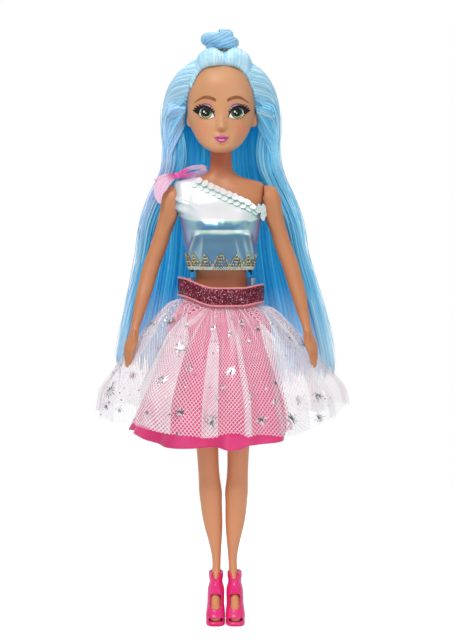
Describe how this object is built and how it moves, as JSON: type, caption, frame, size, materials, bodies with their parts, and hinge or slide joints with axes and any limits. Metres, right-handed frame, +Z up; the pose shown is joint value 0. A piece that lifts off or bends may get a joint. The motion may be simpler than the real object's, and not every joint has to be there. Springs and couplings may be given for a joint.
{
  "type": "fashion doll",
  "caption": "Standing dressed fashion doll with turning head, arms and legs, long blue hair, foil one-shoulder top, layered tulle skirt and platform heels.",
  "frame": {"origin": "on the ground under the middle of the doll's outline seen from above", "axes": "+Z up, the doll faces -Y, +X towards the doll's own left hand"},
  "size_m": [0.128, 0.0968, 0.2992],
  "materials": {
    "skin": "satin moulded plastic",
    "face": "soft painted vinyl",
    "inner_plastic": "plain moulded",
    "hair": "glossy nylon fibre",
    "hair_elastic": "covered elastic",
    "foil_fabric": "iridescent foil",
    "sequin_trim": "scalloped sequin braid",
    "metal_braid": "metallic thread braid",
    "tape": "hook and loop",
    "chiffon": "sheer chiffon",
    "clear_clip": "clear moulded",
    "glitter_elastic": "glitter elastic",
    "piping": "soft edge piping",
    "satin": "satin",
    "tulle": "net with foil stars",
    "shoe_plastic": "glossy moulded"
  },
  "bodies": {
    "torso": {"torso_front": "skin", "torso_back": "skin", "neck_knob": "inner_plastic", "shoulder_axle": "inner_plastic", "hip_axle": "inner_plastic", "top_front": "foil_fabric", "top_back": "foil_fabric", "top_neck_trim": "sequin_trim", "top_hem_braid": "metal_braid", "top_tape_left": "tape", "top_tape_right": "tape", "bow_knot": "chiffon", "bow_loop_inner": "chiffon", "bow_loop_outer": "chiffon", "bow_tail": "chiffon", "waist_clip": "clear_clip", "skirt_waistband": "glitter_elastic", "waistband_piping_upper": "piping", "waistband_piping_lower": "piping", "underskirt": "satin", "overskirt": "tulle"},
    "head": {"head": "face", "hair_cap": "hair", "hair_poof": "hair", "hair_tie": "hair_elastic", "hair_bun": "hair", "hair_lock_left": "hair", "hair_lock_middle": "hair", "hair_lock_right": "hair"},
    "arm_left": {"arm_left": "skin"},
    "arm_right": {"arm_right": "skin"},
    "leg_left": {"leg_left": "skin", "shoe_left": "shoe_plastic"},
    "leg_right": {"leg_right": "skin", "shoe_right": "shoe_plastic"}
  },
  "joints": [
    {"name": "head_turn", "type": "hinge", "parent": "torso", "child": "head", "pos_m": [0, -0.00311, 0.24325], "axis": [0, 0, 1], "range_deg": [-70, 70], "deforming": ["hair_lock_left", "hair_lock_middle", "hair_lock_right"]},
    {"name": "shoulder_left", "type": "hinge", "parent": "torso", "child": "arm_left", "pos_m": [0.0213, -0.00311, 0.21349], "axis": [-1, 0, 0], "range_deg": [-30, 170], "deforming": ["hair_lock_left", "hair_lock_middle", "hair_lock_right", "underskirt", "overskirt"]},
    {"name": "shoulder_right", "type": "hinge", "parent": "torso", "child": "arm_right", "pos_m": [-0.0213, -0.00311, 0.21349], "axis": [-1, 0, 0], "range_deg": [-30, 170], "deforming": ["hair_lock_left", "hair_lock_middle", "hair_lock_right", "underskirt", "overskirt", "bow_loop_outer", "bow_tail"]},
    {"name": "hip_left", "type": "hinge", "parent": "torso", "child": "leg_left", "pos_m": [0.0033, -0.00221, 0.147], "axis": [-1, 0, 0], "range_deg": [-20, 90], "deforming": ["underskirt", "overskirt", "hair_lock_left", "hair_lock_middle", "hair_lock_right"]},
    {"name": "hip_right", "type": "hinge", "parent": "torso", "child": "leg_right", "pos_m": [-0.0033, -0.00221, 0.147], "axis": [-1, 0, 0], "range_deg": [-20, 90], "deforming": ["underskirt", "overskirt", "hair_lock_left", "hair_lock_middle", "hair_lock_right"]}
  ]
}
